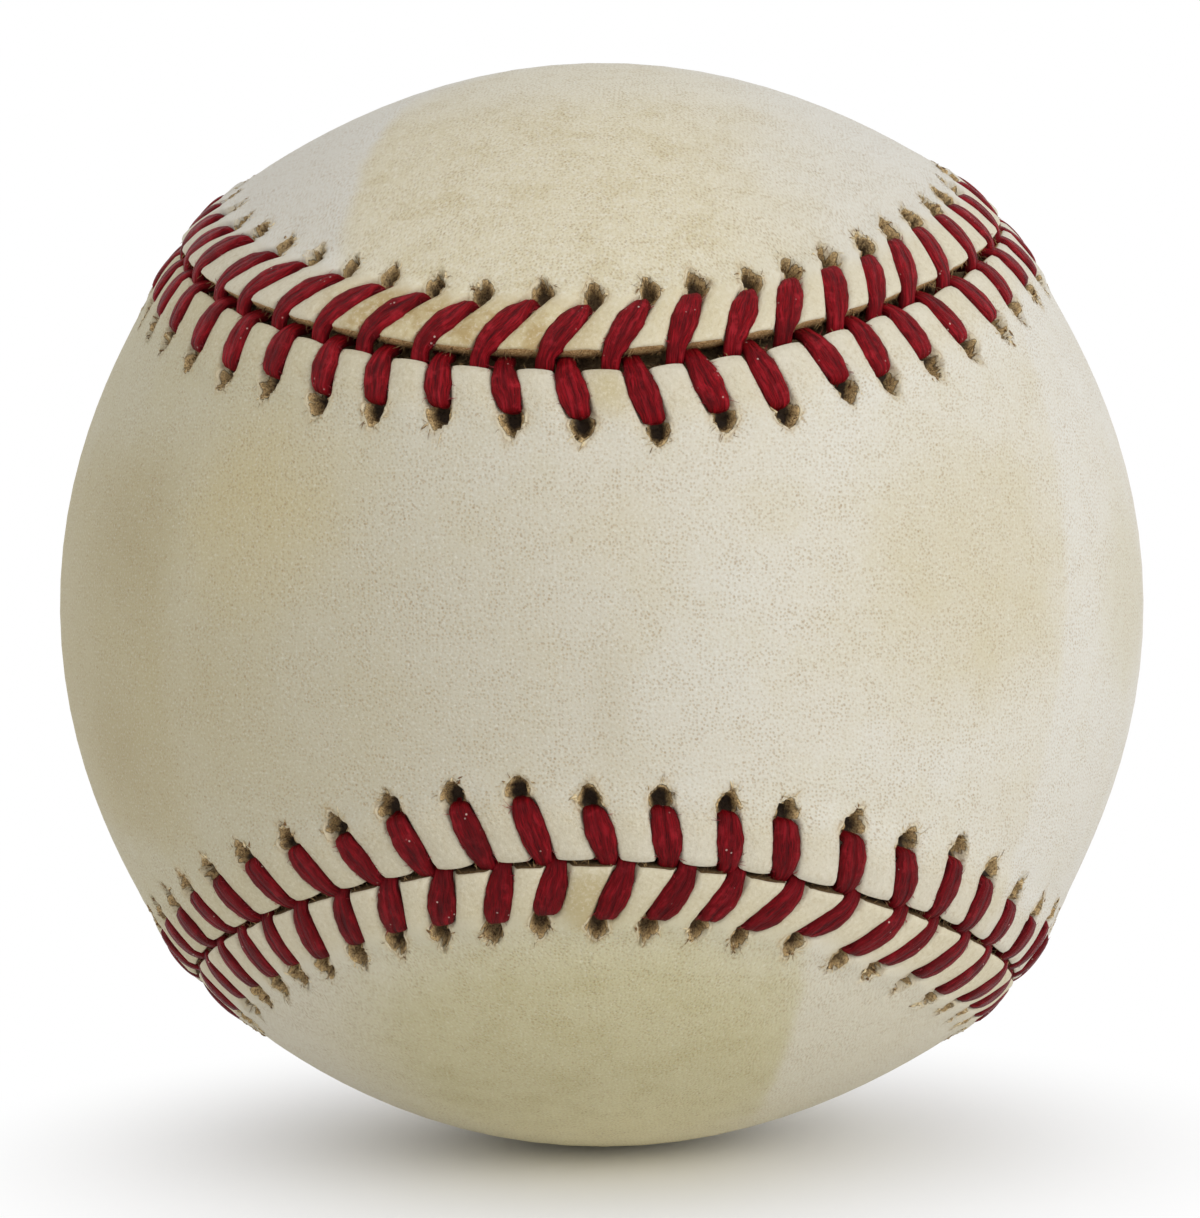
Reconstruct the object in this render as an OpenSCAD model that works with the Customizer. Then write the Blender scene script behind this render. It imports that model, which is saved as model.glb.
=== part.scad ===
// A hand-stitched baseball. A cork core sits in two black rubber half shells with a gasket
// between them and a red rubber cover round them. Three wool windings, a finishing winding
// and a coat of rubber cement follow. Two equal figure-eight leather panels close the ball,
// drawn together by one thread sewn with two needles, whose two runs are two pieces here.
// The origin is the ball's centre. The front panel's narrow waist faces -Y, and its two
// ends wrap round to the back over +X and -X. Lengths are in millimetres.

/* [Core] */
// Diameter of the cork and rubber core
core_d = 20.64; // [18:0.1:23]
// Thickness of each black rubber half shell
black_rubber_t = 3.97; // [3:0.1:5]
// Thickness of the gasket between the two half shells
gasket_t = 0.8; // [0.4:0.1:1.6]
// Thickness of the red rubber cover
red_rubber_t = 2.38; // [1.5:0.1:3.5]

/* [Windings] */
// Thickness of the first winding, grey four-ply wool
first_winding_t = 14.35; // [12:0.1:16]
// Thickness of the second winding, white three-ply wool
second_winding_t = 1.75; // [1:0.1:3]
// Thickness of the third winding, grey three-ply wool
third_winding_t = 2.25; // [1:0.1:3]
// Thickness of the finishing winding, fine cotton yarn
finishing_winding_t = 0.46; // [0.3:0.02:1]
// Thickness of the coat of rubber cement
cement_t = 0.1; // [0.05:0.05:0.3]

/* [Cover] */
// Thickness of the leather
leather_t = 1.2; // [0.8:0.1:1.6]
// Width of the seam between the two cut edges
seam_gap = 1.5; // [1.3:0.1:2.5]
// Distance from the seam's middle line to the foot of the raised leather
ridge_across = 7.5; // [6.5:0.1:9]

/* [Stitching] */
// Number of stitches on each side of the seam
stitches = 108; // [96:4:116]
// Width of the thread where it lies on the leather
thread_w = 1.5; // [1:0.1:1.8]
// Thickness of the thread, pressed flat
thread_t = 0.85; // [0.5:0.05:1.1]
// Distance from the seam's middle line to the holes in the front panel
front_hole_across = 3.7; // [3.3:0.1:4.2]
// Distance from the seam's middle line to the holes in the back panel
back_hole_across = 3.9; // [3.3:0.1:4.2]

/* [Hidden] */

$fn = 120;

// Clearance between one layer inside the ball and the next
layer_clearance = 0.02;
// Clearance under the leather, which the dip of its flat facets takes up in part
cover_clearance = 0.25;
// Clearance round the thread, above, below and beside it
thread_clearance = 0.1;
// Overrun of the cuts that halve the black rubber
cut_overrun = 1;

// Outer radius of each layer, from the core outwards
core_r = core_d / 2;
black_rubber_r = core_r + layer_clearance + black_rubber_t;
red_rubber_r = black_rubber_r + layer_clearance + red_rubber_t;
first_winding_r = red_rubber_r + layer_clearance + first_winding_t;
second_winding_r = first_winding_r + layer_clearance + second_winding_t;
third_winding_r = second_winding_r + layer_clearance + third_winding_t;
finishing_winding_r = third_winding_r + layer_clearance + finishing_winding_t;
cement_r = finishing_winding_r + layer_clearance + cement_t;
cover_inner_r = cement_r + cover_clearance;
cover_r = cover_inner_r + leather_t;

// The thread runs between the cement coat and the raised leather, and again over the leather
thread_under_r = cement_r + thread_clearance + thread_t / 2;
ridge_inner_r = thread_under_r + thread_t / 2 + thread_clearance;
ridge_r = ridge_inner_r + leather_t;
thread_over_r = ridge_r + thread_clearance + thread_t / 2;

// The seam's direction from the centre is a sum of three waves on each axis,
// and the first of the three shares sets how narrow the panels' waist is
waist_share = 0.3033;
fine_share = 0.0212;
crest_share = 0.0353;
wide_share = 1 - waist_share;
depth_share = 2 * sqrt(wide_share * waist_share);

function unit(v) = v / norm(v);

function seam_direction(angle) = unit([
    wide_share * sin(angle) + waist_share * sin(3 * angle) + fine_share * sin(5 * angle),
    -depth_share * cos(2 * angle) - crest_share * cos(6 * angle),
    wide_share * cos(angle) - waist_share * cos(3 * angle) + fine_share * cos(5 * angle)
]);

// Running length of the seam on a ball of radius 1, against the waves' angle
seam_steps = 720;
seam_step_angle = 360 / seam_steps;
seam_lengths = [
    for (
        k = 0, run = 0;
        k <= seam_steps;
        run = run + norm(seam_direction((k + 1) * seam_step_angle) - seam_direction(k * seam_step_angle)),
        k = k + 1
    ) [run, k * seam_step_angle]
];
seam_length = seam_lengths[seam_steps][0];

// Angle of the point at a share of the seam's length, counted round and round
function seam_angle(share) = lookup((share - floor(share)) * seam_length, seam_lengths);

// The seam's direction, its run and its normal towards the back panel
function seam_frame(share) =
    let (
        angle = seam_angle(share),
        out = seam_direction(angle),
        run = unit(seam_direction(angle + seam_step_angle) - seam_direction(angle - seam_step_angle))
    ) [out, run, cross(out, run)];

// Point at a share of the seam's length, a distance across it and a radius
function seam_point(share, across, radius) =
    let (frame = seam_frame(share), turn = across / cover_r * 180 / PI)
    (frame[0] * cos(turn) + frame[2] * sin(turn)) * radius;

// Stitches are one pitch apart, and the hand sewing runs ahead and falls back a little
stitch_drift_share = 0.18;
function stitch_share(stitch, pitch_share) =
    (stitch + stitch_drift_share * cos(360 * stitch / stitches) + pitch_share) / stitches;

// Places along the seam within a stitch, as shares of the pitch. Sides are 1 for the back
// panel and -1 for the front one. The legs lean forward more on the back panel.
back_hole_share = 0;
front_hole_share = -0.14;
back_dip_share = -0.62;
front_dip_share = -0.29;
function hole_share(side) = side > 0 ? back_hole_share : front_hole_share;
function dip_share(side) = side > 0 ? back_dip_share : front_dip_share;
function hole_across(side) = side > 0 ? back_hole_across : front_hole_across;

// Width of the thread in a hole, in the seam and under the leather, as shares of its width
in_hole_width_share = 0.7;
in_seam_width_share = 0.6;
under_width_share = 0.75;

// Size of a hole along the seam and across it
hole_length = thread_w * in_hole_width_share + 2 * thread_clearance;
hole_width = thread_t + 2 * thread_clearance;
hole_half_share = hole_length / 2 / (seam_length * cover_r);

// Leather panels. A panel has one column of points at each stitch, two at each hole, and
// ribs that join the feet of its raised edge across its middle.
rib_steps = 8;

function between(a, b, share) =
    let (turn = acos(min(1, a * b)))
    turn == 0 ? a : (a * sin(turn * (1 - share)) + b * sin(turn * share)) / sin(turn);

// Rows of one face of a panel: edge, four hole corners, foot of the raised leather
function panel_rows(side, raised_r, foot_r) =
    let (
        near = side * (hole_across(side) - hole_width / 2),
        far = side * (hole_across(side) + hole_width / 2),
        hole = hole_share(side)
    ) concat(
        [for (i = [0:stitches - 1]) seam_point(stitch_share(i, hole), side * seam_gap / 2, raised_r)],
        [for (i = [0:stitches - 1]) seam_point(stitch_share(i, hole) - hole_half_share, near, raised_r)],
        [for (i = [0:stitches - 1]) seam_point(stitch_share(i, hole) + hole_half_share, near, raised_r)],
        [for (i = [0:stitches - 1]) seam_point(stitch_share(i, hole) - hole_half_share, far, raised_r)],
        [for (i = [0:stitches - 1]) seam_point(stitch_share(i, hole) + hole_half_share, far, raised_r)],
        [for (i = [0:stitches - 1]) seam_point(stitch_share(i, hole), side * ridge_across, foot_r)]
    );
panel_row_count = 6;

// Points of one face, the rows first and then the ribs. The tip is the stitch at one end.
function panel_face_points(side, tip, raised_r, foot_r) =
    let (
        rows = panel_rows(side, raised_r, foot_r),
        feet = (panel_row_count - 1) * stitches
    ) concat(
        rows,
        [
            for (rib = [1:stitches / 2 - 1])
                for (k = [1:rib_steps - 1])
                    let (
                        a = unit(rows[feet + (tip + rib) % stitches]),
                        b = unit(rows[feet + (tip - rib + stitches) % stitches])
                    ) between(a, b, k / rib_steps) * foot_r
        ]
    );

// Index of a rib's point within one face
function rib_index(tip, rib, k) =
    let (feet = (panel_row_count - 1) * stitches)
    rib == 0 ? feet + tip :
    rib == stitches / 2 ? feet + (tip + rib) % stitches :
    k == 0 ? feet + (tip + rib) % stitches :
    k == rib_steps ? feet + (tip - rib + stitches) % stitches :
    panel_row_count * stitches + (rib - 1) * (rib_steps - 1) + k - 1;

function quad(a, b, c, d) = [[a, b, c], [a, c, d]];
function flipped(faces, flip) = flip ? [for (f = faces) [f[2], f[1], f[0]]] : faces;
function joined(lists) = [for (list = lists) each list];
function shifted(faces, offset) = [for (f = faces) [for (i = f) i + offset]];

// Triangles of one face round one stitch, which leave its hole open
function stitch_faces(i) =
    let (
        j = (i + 1) % stitches,
        edge = 0,
        near_low = stitches,
        near_high = 2 * stitches,
        far_low = 3 * stitches,
        far_high = 4 * stitches,
        foot = 5 * stitches
    ) concat(
        [[edge + i, near_low + i, near_high + i]],
        quad(edge + i, near_high + i, near_low + j, edge + j),
        quad(near_high + i, far_high + i, far_low + j, near_low + j),
        [[far_low + i, foot + i, far_high + i]],
        quad(far_high + i, foot + i, foot + j, far_low + j)
    );

// Triangles of one face between two ribs
function rib_faces(tip, rib) = joined([
    for (k = [0:rib_steps - 1])
        let (
            a = rib_index(tip, rib, k),
            b = rib_index(tip, rib, k + 1),
            c = rib_index(tip, rib + 1, k + 1),
            d = rib_index(tip, rib + 1, k)
        ) a == b ? [[a, c, d]] : c == d ? [[a, b, c]] : quad(a, b, c, d)
]);

// Triangles between the two faces, at the cut edge and in the four walls of a hole
function wall_faces(i, inner) =
    let (
        j = (i + 1) % stitches,
        corners = [stitches + i, 3 * stitches + i, 4 * stitches + i, 2 * stitches + i]
    ) concat(
        quad(i, j, j + inner, i + inner),
        joined([
            for (k = [0:3])
                let (a = corners[k], b = corners[(k + 1) % 4]) quad(a, b, b + inner, a + inner)
        ])
    );

module cover_panel(side, tip) {
    outer_points = panel_face_points(side, tip, ridge_r, cover_r);
    inner_points = panel_face_points(side, tip, ridge_inner_r, cover_inner_r);
    inner = len(outer_points);
    face = concat(
        joined([for (i = [0:stitches - 1]) stitch_faces(i)]),
        joined([for (rib = [0:stitches / 2 - 1]) rib_faces(tip, rib)])
    );
    walls = joined([for (i = [0:stitches - 1]) wall_faces(i, inner)]);
    polyhedron(
        points = concat(outer_points, inner_points),
        faces = flipped(concat(face, flipped(shifted(face, inner), true), walls), side < 0)
    );
}

// Thread. Each leg rises from a hole, lies over the leather, dips into the seam and runs
// on under the other panel to its next hole, one stitch further.
thread_sides = 5;
// Distance from the seam's middle line at which the thread turns down into the seam
dip_across = seam_gap / 6;
// Rise of the thread at the middle of its leg, over the rounded leather
leg_rise = thread_clearance;
leg_middle_share = 0.5;
// Longest mitre at a turn, as a share of the thread's thickness
longest_mitre_share = 1.5;

// One stitch of a run as rings: a point, the seam's run there and the thread's width
function leg_stations(stitch, side) =
    let (
        hole = stitch_share(stitch, hole_share(side)),
        dip = stitch_share(stitch, dip_share(side)),
        middle = hole + (dip - hole) * leg_middle_share,
        across = side * hole_across(side)
    ) [
        [seam_point(hole, across, thread_under_r), seam_frame(hole)[1], in_hole_width_share],
        [seam_point(hole, across, thread_over_r), seam_frame(hole)[1], in_hole_width_share],
        [seam_point(middle, across * leg_middle_share, thread_over_r + leg_rise), seam_frame(middle)[1], 1],
        [seam_point(dip, side * dip_across, thread_over_r), seam_frame(dip)[1], in_seam_width_share],
        [seam_point(dip, -side * dip_across, thread_under_r), seam_frame(dip)[1], in_seam_width_share]
    ];

// A run takes the two sides in turn, and goes once round the seam
function run_stations(first_side) = joined([
    for (i = [0:stitches - 1]) leg_stations(-i, i % 2 == 0 ? first_side : -first_side)
]);

// Points of the ring at one station, mitred where the thread turns
function ring(stations, i) =
    let (
        at = stations[i][0],
        from = i == 0 ? undef : unit(at - stations[i - 1][0]),
        to = i == len(stations) - 1 ? undef : unit(stations[i + 1][0] - at),
        sum = is_undef(from) ? 2 * to : is_undef(to) ? 2 * from : from + to,
        along = unit(sum),
        mitre = min(longest_mitre_share, 2 / norm(sum)),
        beside = unit(stations[i][1] - along * (stations[i][1] * along)),
        above = cross(along, beside)
    ) [
        for (k = [0:thread_sides - 1])
            let (turn = 360 * (k + 0.5) / thread_sides)
            at
                + beside * (sin(turn) * stations[i][2] * thread_w / 2)
                + above * (cos(turn) * mitre * thread_t / 2)
    ];

module thread_run(first_side) {
    stations = run_stations(first_side);
    last = len(stations) - 1;
    sides = thread_sides;
    polyhedron(
        points = joined([for (i = [0:last]) ring(stations, i)]),
        faces = concat(
            [for (k = [1:sides - 2]) [0, k, k + 1]],
            joined([
                for (i = [0:last - 1])
                    for (k = [0:sides - 1])
                        let (a = i * sides + k, b = i * sides + (k + 1) % sides)
                        quad(a, a + sides, b + sides, b)
            ]),
            [for (k = [1:sides - 2]) [last * sides, last * sides + k + 1, last * sides + k]]
        )
    );
}

// A hollow ball from one radius to another
module shell(outer_r, inner_r) {
    difference() {
        sphere(r = outer_r);
        sphere(r = inner_r);
    }
}

// Half of the black rubber, above the gasket or below it
module half_shell(side) {
    reach = black_rubber_r + cut_overrun;
    difference() {
        shell(black_rubber_r, core_r + layer_clearance);
        translate([0, 0, side * (gasket_t / 2 - reach)])
            cube(2 * reach, center = true);
    }
}

module cork_core() {
    color("burlywood") sphere(r = core_r);
}

module black_rubber_shell_upper() {
    color("dimgray") half_shell(1);
}

module black_rubber_shell_lower() {
    color("dimgray") half_shell(-1);
}

module rubber_gasket() {
    flange_t = gasket_t - 2 * layer_clearance;
    color("indianred")
        intersection() {
            shell(black_rubber_r, core_r + layer_clearance);
            cube([2 * black_rubber_r, 2 * black_rubber_r, flange_t], center = true);
        }
}

module red_rubber_cover() {
    color("firebrick") shell(red_rubber_r, black_rubber_r + layer_clearance);
}

module first_winding() {
    color("slategray") shell(first_winding_r, red_rubber_r + layer_clearance);
}

module second_winding() {
    color("whitesmoke") shell(second_winding_r, first_winding_r + layer_clearance);
}

module third_winding() {
    color("slategray") shell(third_winding_r, second_winding_r + layer_clearance);
}

module finishing_winding() {
    color("linen") shell(finishing_winding_r, third_winding_r + layer_clearance);
}

module cement_coat() {
    color("khaki") shell(cement_r, finishing_winding_r + layer_clearance);
}

module cover_panel_front() {
    color("antiquewhite") cover_panel(-1, stitches / 4);
}

module cover_panel_back() {
    color("antiquewhite") cover_panel(1, 0);
}

module stitch_thread_first_needle() {
    color("crimson") thread_run(1);
}

module stitch_thread_second_needle() {
    color("crimson") thread_run(-1);
}

cork_core();
black_rubber_shell_upper();
black_rubber_shell_lower();
rubber_gasket();
red_rubber_cover();
first_winding();
second_winding();
third_winding();
finishing_winding();
cement_coat();
cover_panel_front();
cover_panel_back();
stitch_thread_first_needle();
stitch_thread_second_needle();
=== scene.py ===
"""A used, hand-stitched baseball: cream leather with wear, raised seams and waxed red thread."""
import math

import bpy
import numpy as np
from mathutils import Matrix, Vector


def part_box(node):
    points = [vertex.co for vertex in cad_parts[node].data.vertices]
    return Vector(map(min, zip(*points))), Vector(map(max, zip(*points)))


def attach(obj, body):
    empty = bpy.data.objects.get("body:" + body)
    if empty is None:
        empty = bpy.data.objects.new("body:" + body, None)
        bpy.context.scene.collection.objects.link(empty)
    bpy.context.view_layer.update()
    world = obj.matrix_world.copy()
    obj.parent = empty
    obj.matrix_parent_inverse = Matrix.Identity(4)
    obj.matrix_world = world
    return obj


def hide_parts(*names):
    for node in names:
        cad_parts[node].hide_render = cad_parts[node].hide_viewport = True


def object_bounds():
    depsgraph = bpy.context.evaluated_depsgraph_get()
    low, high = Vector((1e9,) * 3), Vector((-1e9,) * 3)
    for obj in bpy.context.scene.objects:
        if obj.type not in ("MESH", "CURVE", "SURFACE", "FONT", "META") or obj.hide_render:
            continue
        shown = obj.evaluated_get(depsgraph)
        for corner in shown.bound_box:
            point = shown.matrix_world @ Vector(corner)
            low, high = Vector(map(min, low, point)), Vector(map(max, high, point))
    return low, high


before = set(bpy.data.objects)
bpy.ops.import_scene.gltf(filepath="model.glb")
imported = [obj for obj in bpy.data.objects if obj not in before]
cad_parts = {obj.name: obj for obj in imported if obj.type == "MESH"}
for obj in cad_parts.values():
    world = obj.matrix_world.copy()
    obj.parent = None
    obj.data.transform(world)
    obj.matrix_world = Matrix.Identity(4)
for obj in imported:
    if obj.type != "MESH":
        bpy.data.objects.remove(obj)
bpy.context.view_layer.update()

MM = 0.001


def half_width(node, axis):
    """Half of a node's size along an axis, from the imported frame."""
    low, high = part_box(node)
    return (high[axis] - low[axis]) / 2


# Sizes of the ball, in metres
COVER_R = half_width("cover_panel_front", 0)
CEMENT_R = half_width("cement_coat", 2)
LEATHER_T = 1.2 * MM
THREAD_W = 1.6 * MM
THREAD_T = 0.8 * MM

# The photograph's frame, and where the ball is in it
PHOTO_W = 1200
PHOTO_H = 1218
BALL_X = 601.7
BALL_Y = 604.9
BALL_RADIUS_PX = 541.8
CAMERA_BALLS = 5.608
BALL_TURN = (0.0126, -0.0146, -0.0454)
SENSOR = 36
FOCAL_PX = BALL_RADIUS_PX * math.sqrt(CAMERA_BALLS**2 - 1)

# The seam: three waves on each axis, as in the solid model
WAIST = 0.3033
FINE = 0.0212
CREST = 0.0353
WIDE = 1 - WAIST
DEPTH = 2 * math.sqrt(WIDE * WAIST)
STITCHES = 108
STITCH_DRIFT = 0.18
# Across each neck the stitches are a little closer and the seam nearer the neck's middle
STITCH_SWELL = 0.33
SEAM_SHIFT = 0.5 * MM

# Each side of the seam: the front panel is side -1 and the back panel side 1.
# Places along the seam are in stitches, and distances across it in metres.
HOLE_ALONG = {-1: -0.14, 1: 0.0}
DIP_ALONG = {-1: -0.29, 1: -0.62}
HOLE_ACROSS = {-1: 3.6 * MM, 1: 3.8 * MM}
LEG_BEND = {-1: 1.25, 1: 1.3}
LEG_BEND_SWING = {-1: 0.0, 1: 0.5}
# Share of a leg from which its lean is taken, as the curve starts flat along the seam
LEAN_FROM = 0.05
TIP_STITCH = {-1: STITCHES // 4, 1: 0}
# The leather rises to the seam over the thread under it, further out on the back panel
SEAM_LIFT = {-1: 0.7 * MM, 1: 0.92 * MM}
LIFT_FULL = 2.2 * MM
LIFT_SPREAD = {-1: 5.2 * MM, 1: 8.2 * MM}
LIFT_FALL = 1.3
# How much higher the leather is than that at four places round the seam, from the outline
LIFT_PLACES = (12, 42, 66, 96)
LIFT_MORE = {
    -1: (-0.05 * MM, 0.3 * MM, -0.24 * MM, -0.22 * MM),
    1: (0.0, 0.2 * MM, -0.48 * MM, 0.06 * MM),
}


def unit(vectors):
    """Vectors of length 1."""
    return vectors / np.linalg.norm(vectors, axis=-1, keepdims=True)


def ease(x):
    """0 below 0, 1 above 1 and a smooth step between."""
    x = np.clip(x, 0, 1)
    return x * x * (3 - 2 * x)


def seam_direction(angle):
    """The seam's direction from the ball's centre."""
    return unit(np.stack([
        WIDE * np.sin(angle) + WAIST * np.sin(3 * angle) + FINE * np.sin(5 * angle),
        -DEPTH * np.cos(2 * angle) - CREST * np.cos(6 * angle),
        WIDE * np.cos(angle) - WAIST * np.cos(3 * angle) + FINE * np.cos(5 * angle),
    ], axis=-1))


SEAM_PARTS = 7200
SEAM_ANGLES = np.linspace(0, 2 * math.pi, SEAM_PARTS + 1)
SEAM_STEP = SEAM_ANGLES[1]
SEAM_RUN = np.concatenate([
    [0], np.cumsum(np.linalg.norm(np.diff(seam_direction(SEAM_ANGLES), axis=0), axis=1))
])
PITCH = SEAM_RUN[-1] * COVER_R / STITCHES


def stitch_drift(along):
    """How far a stitch is from even spacing round the seam."""
    turn = 2 * math.pi * along / STITCHES
    return STITCH_DRIFT * np.cos(turn) - STITCH_SWELL * np.sin(2 * turn)


def seam_shift(along):
    """How far the real seam is from the solid model's, towards the back panel."""
    return -SEAM_SHIFT * np.cos(4 * math.pi * along / STITCHES)


def seam_frame(along):
    """Direction, run and normal of the seam at a place counted in stitches."""
    share = (along + stitch_drift(along)) / STITCHES
    angle = np.interp(share % 1 * SEAM_RUN[-1], SEAM_RUN, SEAM_ANGLES)
    out = seam_direction(angle)
    run = unit(seam_direction(angle + SEAM_STEP) - seam_direction(angle - SEAM_STEP))
    return out, run, np.cross(out, run)


def seam_point(along, across, radius):
    """Points at a place along the seam, a distance across it and a radius."""
    out, _, normal = seam_frame(along)
    turn = ((across + seam_shift(along)) / COVER_R)[..., None]
    return (out * np.cos(turn) + normal * np.sin(turn)) * np.asarray(radius)[..., None]


def lifted(side, along, across):
    """Height of the leather over the ball, raised by the thread under it."""
    beyond = np.maximum(across - LIFT_FULL, 0) / LIFT_SPREAD[side]
    more = np.interp(along, LIFT_PLACES, LIFT_MORE[side], period=STITCHES)
    return (SEAM_LIFT[side] + more) * np.exp(-(beyond ** LIFT_FALL))


# Hand sewing: how far each stitch is from its even place. The draws keep this order.
hand = np.random.default_rng(108)


def uneven(spread):
    """A small error for each stitch, within a spread either way."""
    return hand.uniform(-spread, spread, STITCHES)


UNEVEN = {
    side: {
        "along": uneven(0.045),
        "across": uneven(0.22 * MM),
        "dip": uneven(0.035),
        "hole_length": 1 + uneven(0.22),
        "hole_width": 1 + uneven(0.2),
        "hole_turn": uneven(0.35),
        "pucker": 1 + uneven(0.3),
        "thread_width": 1 + uneven(0.07),
        "thread_lift": uneven(0.05 * MM),
    }
    for side in (-1, 1)
}


def turned():
    """The turn from the ball's own frame to the view's frame."""
    x, y, z = BALL_TURN
    return Matrix.Rotation(z, 3, "Z") @ Matrix.Rotation(y, 3, "Y") @ Matrix.Rotation(x, 3, "X")


def seen_at(x, y, height=0.0):
    """The point that the photograph shows at a pixel, at a height over the ball."""
    ray = Vector(((x - BALL_X) / FOCAL_PX, 1, (BALL_Y - y) / FOCAL_PX)).normalized()
    eye = Vector((0, -CAMERA_BALLS, 0))
    half = eye.dot(ray)
    swell = 1 + height / COVER_R
    reach = -half - math.sqrt(max(0, half * half - eye.dot(eye) + swell * swell))
    return turned().transposed() @ (eye + ray * reach) * COVER_R


# The stitches that the photograph shows, each by x and y of its hole's pixel and of the pixel
# where it enters the seam. The rows are the two sides of the upper seam and of the lower seam.
UPPER_BACK_STITCHES = (
    (232, 228, 195, 253), (250, 236, 199, 270), (276, 252, 219, 289), (306, 262, 243, 301),
    (342, 274, 280, 313), (382, 283, 319, 327), (427, 292, 363, 340), (475, 300, 417, 351),
    (537, 298, 478, 354), (589, 303, 543, 361), (646, 298, 610, 360), (694, 292, 676, 357),
    (751, 288, 736, 355), (791, 277, 787, 342), (830, 265, 838, 324), (868, 253, 880, 315),
    (893, 237, 911, 300), (916, 225, 944, 276), (937, 213, 970, 255), (949, 204, 982, 234),
)
UPPER_FRONT_STITCHES = (
    (156, 315, 180, 276), (169, 328, 195, 282), (192, 348, 217, 303), (225, 366, 247, 315),
    (268, 373, 288, 325), (318, 390, 333, 337), (373, 400, 381, 348), (438, 400, 439, 354),
    (510, 409, 502, 361), (580, 415, 565, 364), (656, 421, 632, 357), (722, 409, 695, 355),
    (784, 405, 754, 352), (844, 379, 811, 337), (886, 372, 859, 324), (929, 354, 898, 315),
    (967, 339, 925, 294), (997, 318, 958, 279), (1012, 301, 982, 264), (1028, 283, 994, 249),
)
LOWER_FRONT_STITCHES = (
    (176, 911, 212, 952), (189, 895, 230, 937), (213, 880, 252, 922), (246, 863, 288, 908),
    (290, 850, 330, 895), (339, 838, 374, 881), (392, 818, 422, 868), (455, 805, 483, 857),
    (519, 800, 543, 859), (591, 809, 608, 860), (662, 809, 669, 866), (728, 814, 729, 868),
    (785, 821, 782, 878), (852, 835, 846, 889), (905, 850, 899, 904), (956, 859, 935, 913),
    (986, 878, 963, 928), (1010, 901, 989, 940), (1031, 917, 1007, 952),
)
LOWER_BACK_STITCHES = (
    (255, 991, 221, 952), (272, 982, 242, 938), (291, 971, 263, 922), (320, 964, 297, 910),
    (354, 950, 339, 898), (395, 937, 386, 884), (441, 929, 441, 874), (494, 928, 501, 865),
    (543, 919, 557, 868), (602, 923, 627, 869), (654, 923, 689, 869), (705, 923, 737, 878),
    (746, 932, 797, 887), (803, 937, 854, 898), (848, 956, 902, 913), (881, 965, 932, 925),
    (915, 977, 962, 940), (938, 994, 983, 955), (957, 1000, 1001, 968),
)
HOLE_HEIGHT = {-1: 0.7 * MM, 1: 0.9 * MM}
DIP_HEIGHT = 0.7 * MM
MOST_ASTRAY = 0.75
MOST_ASTRAY_ACROSS = 0.6 * MM
FADE_STITCHES = 5


def seam_place(side, pixel, height):
    """The place along the seam, in stitches, and the distance across it at a pixel."""
    seen = np.array(seen_at(*pixel, height).normalized())
    cosine = seam_direction(SEAM_ANGLES) @ seen
    i = np.argmax(cosine)
    along = SEAM_RUN[i] / SEAM_RUN[-1] * STITCHES
    along -= stitch_drift(along)
    return along, math.acos(min(1, cosine[i])) * COVER_R - side * seam_shift(along)


def sew_by_photograph(side, first, step, stitches):
    """Moves a row of even stitches, numbered from the first, to where the photograph has them."""
    odd = UNEVEN[side]
    half = STITCHES / 2
    for k, pixels in enumerate(stitches):
        number = first + k * step
        hole, reach = seam_place(side, pixels[:2], HOLE_HEIGHT[side])
        dip, _ = seam_place(side, pixels[2:], DIP_HEIGHT)
        for key, place, even in (("along", hole, HOLE_ALONG), ("dip", dip, DIP_ALONG)):
            astray = (place - number - even[side] + half) % STITCHES - half
            odd[key][number % STITCHES] = np.clip(astray, -MOST_ASTRAY, MOST_ASTRAY)
        across = np.clip(reach - HOLE_ACROSS[side], -MOST_ASTRAY_ACROSS, MOST_ASTRAY_ACROSS)
        odd["across"][number % STITCHES] = across
    last = first + (len(stitches) - 1) * step
    for key in ("along", "dip"):
        for row_end, away in ((first, -step), (last, step)):
            for k in range(1, FADE_STITCHES):
                fade = odd[key][row_end % STITCHES] * (1 - ease(k / FADE_STITCHES))
                odd[key][(row_end + away * k) % STITCHES] += fade


sew_by_photograph(1, -9, 1, UPPER_BACK_STITCHES)
sew_by_photograph(-1, -9, 1, UPPER_FRONT_STITCHES)
sew_by_photograph(1, 63, -1, LOWER_BACK_STITCHES)
sew_by_photograph(-1, 63, -1, LOWER_FRONT_STITCHES)


def nearest(values, along):
    """The value of the stitch that a place belongs to."""
    return values[np.rint(along).astype(int) % STITCHES]


def between_stitches(values, along):
    """Values of the stitches on either side of a place, blended smoothly."""
    low = np.floor(along).astype(int)
    share = ease(along - low)
    return values[low % STITCHES] * (1 - share) + values[(low + 1) % STITCHES] * share


def leg_bend(side, along):
    """How a leg curves: it swings over each half of the seam."""
    return LEG_BEND[side] - LEG_BEND_SWING[side] * np.sin(4 * math.pi * along / STITCHES)


def leg_rise(side, along, across):
    """0 where a leg starts in the seam, 1 at its hole and beyond."""
    return np.clip(across / HOLE_ACROSS[side], 0, 1) ** leg_bend(side, along)


def leg_lean(side, along, across):
    """Cosine of the angle between a leg and the straight way across the seam."""
    rise = np.clip(across / HOLE_ACROSS[side], LEAN_FROM, 1)
    bend = leg_bend(side, along)
    slope = bend * rise ** (bend - 1) / HOLE_ACROSS[side]
    slope = slope * (HOLE_ALONG[side] - DIP_ALONG[side]) * PITCH
    return np.where(across < HOLE_ACROSS[side], 1 / np.hypot(1, slope), 1)


WELD_WITHIN = 0.002 * MM


def deselect():
    bpy.ops.object.select_all(action="DESELECT")


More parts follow.
